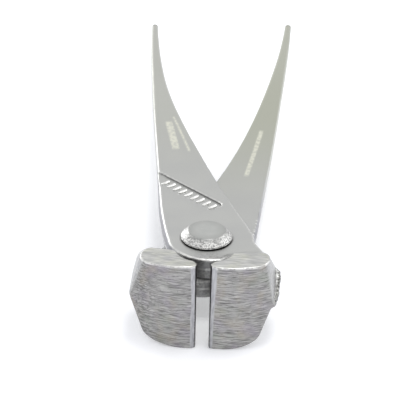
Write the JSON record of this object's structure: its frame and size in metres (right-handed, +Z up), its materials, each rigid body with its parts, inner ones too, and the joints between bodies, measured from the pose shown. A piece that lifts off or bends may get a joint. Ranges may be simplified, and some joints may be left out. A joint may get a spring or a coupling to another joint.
{
  "type": "end cutting nippers",
  "caption": "Steel end cutting nippers: wide front-cutting jaws on lapped joint plates, a conical-headed rivet and long bare tapering handles.",
  "frame": {"origin": "bottom centre of the tool's box as it lies with its jaws part open", "axes": "+Y from the jaws to the handle tips, +Z up along the rivet, +X to the side of the jaw on the upper lever"},
  "size_m": [0.0704, 0.2464, 0.0268],
  "materials": {
    "satin_steel": "satin",
    "rivet_steel": "satin"
  },
  "bodies": {
    "lower_body": {"lower_lever": "satin_steel", "rivet": "rivet_steel"},
    "upper_body": {"upper_lever": "satin_steel"}
  },
  "joints": [
    {"name": "lever_pivot", "type": "hinge", "parent": "lower_body", "child": "upper_body", "pos_m": [0, -0.09597, 0.0134], "axis": [0, 0, 1], "range_deg": [-8, 60]}
  ]
}
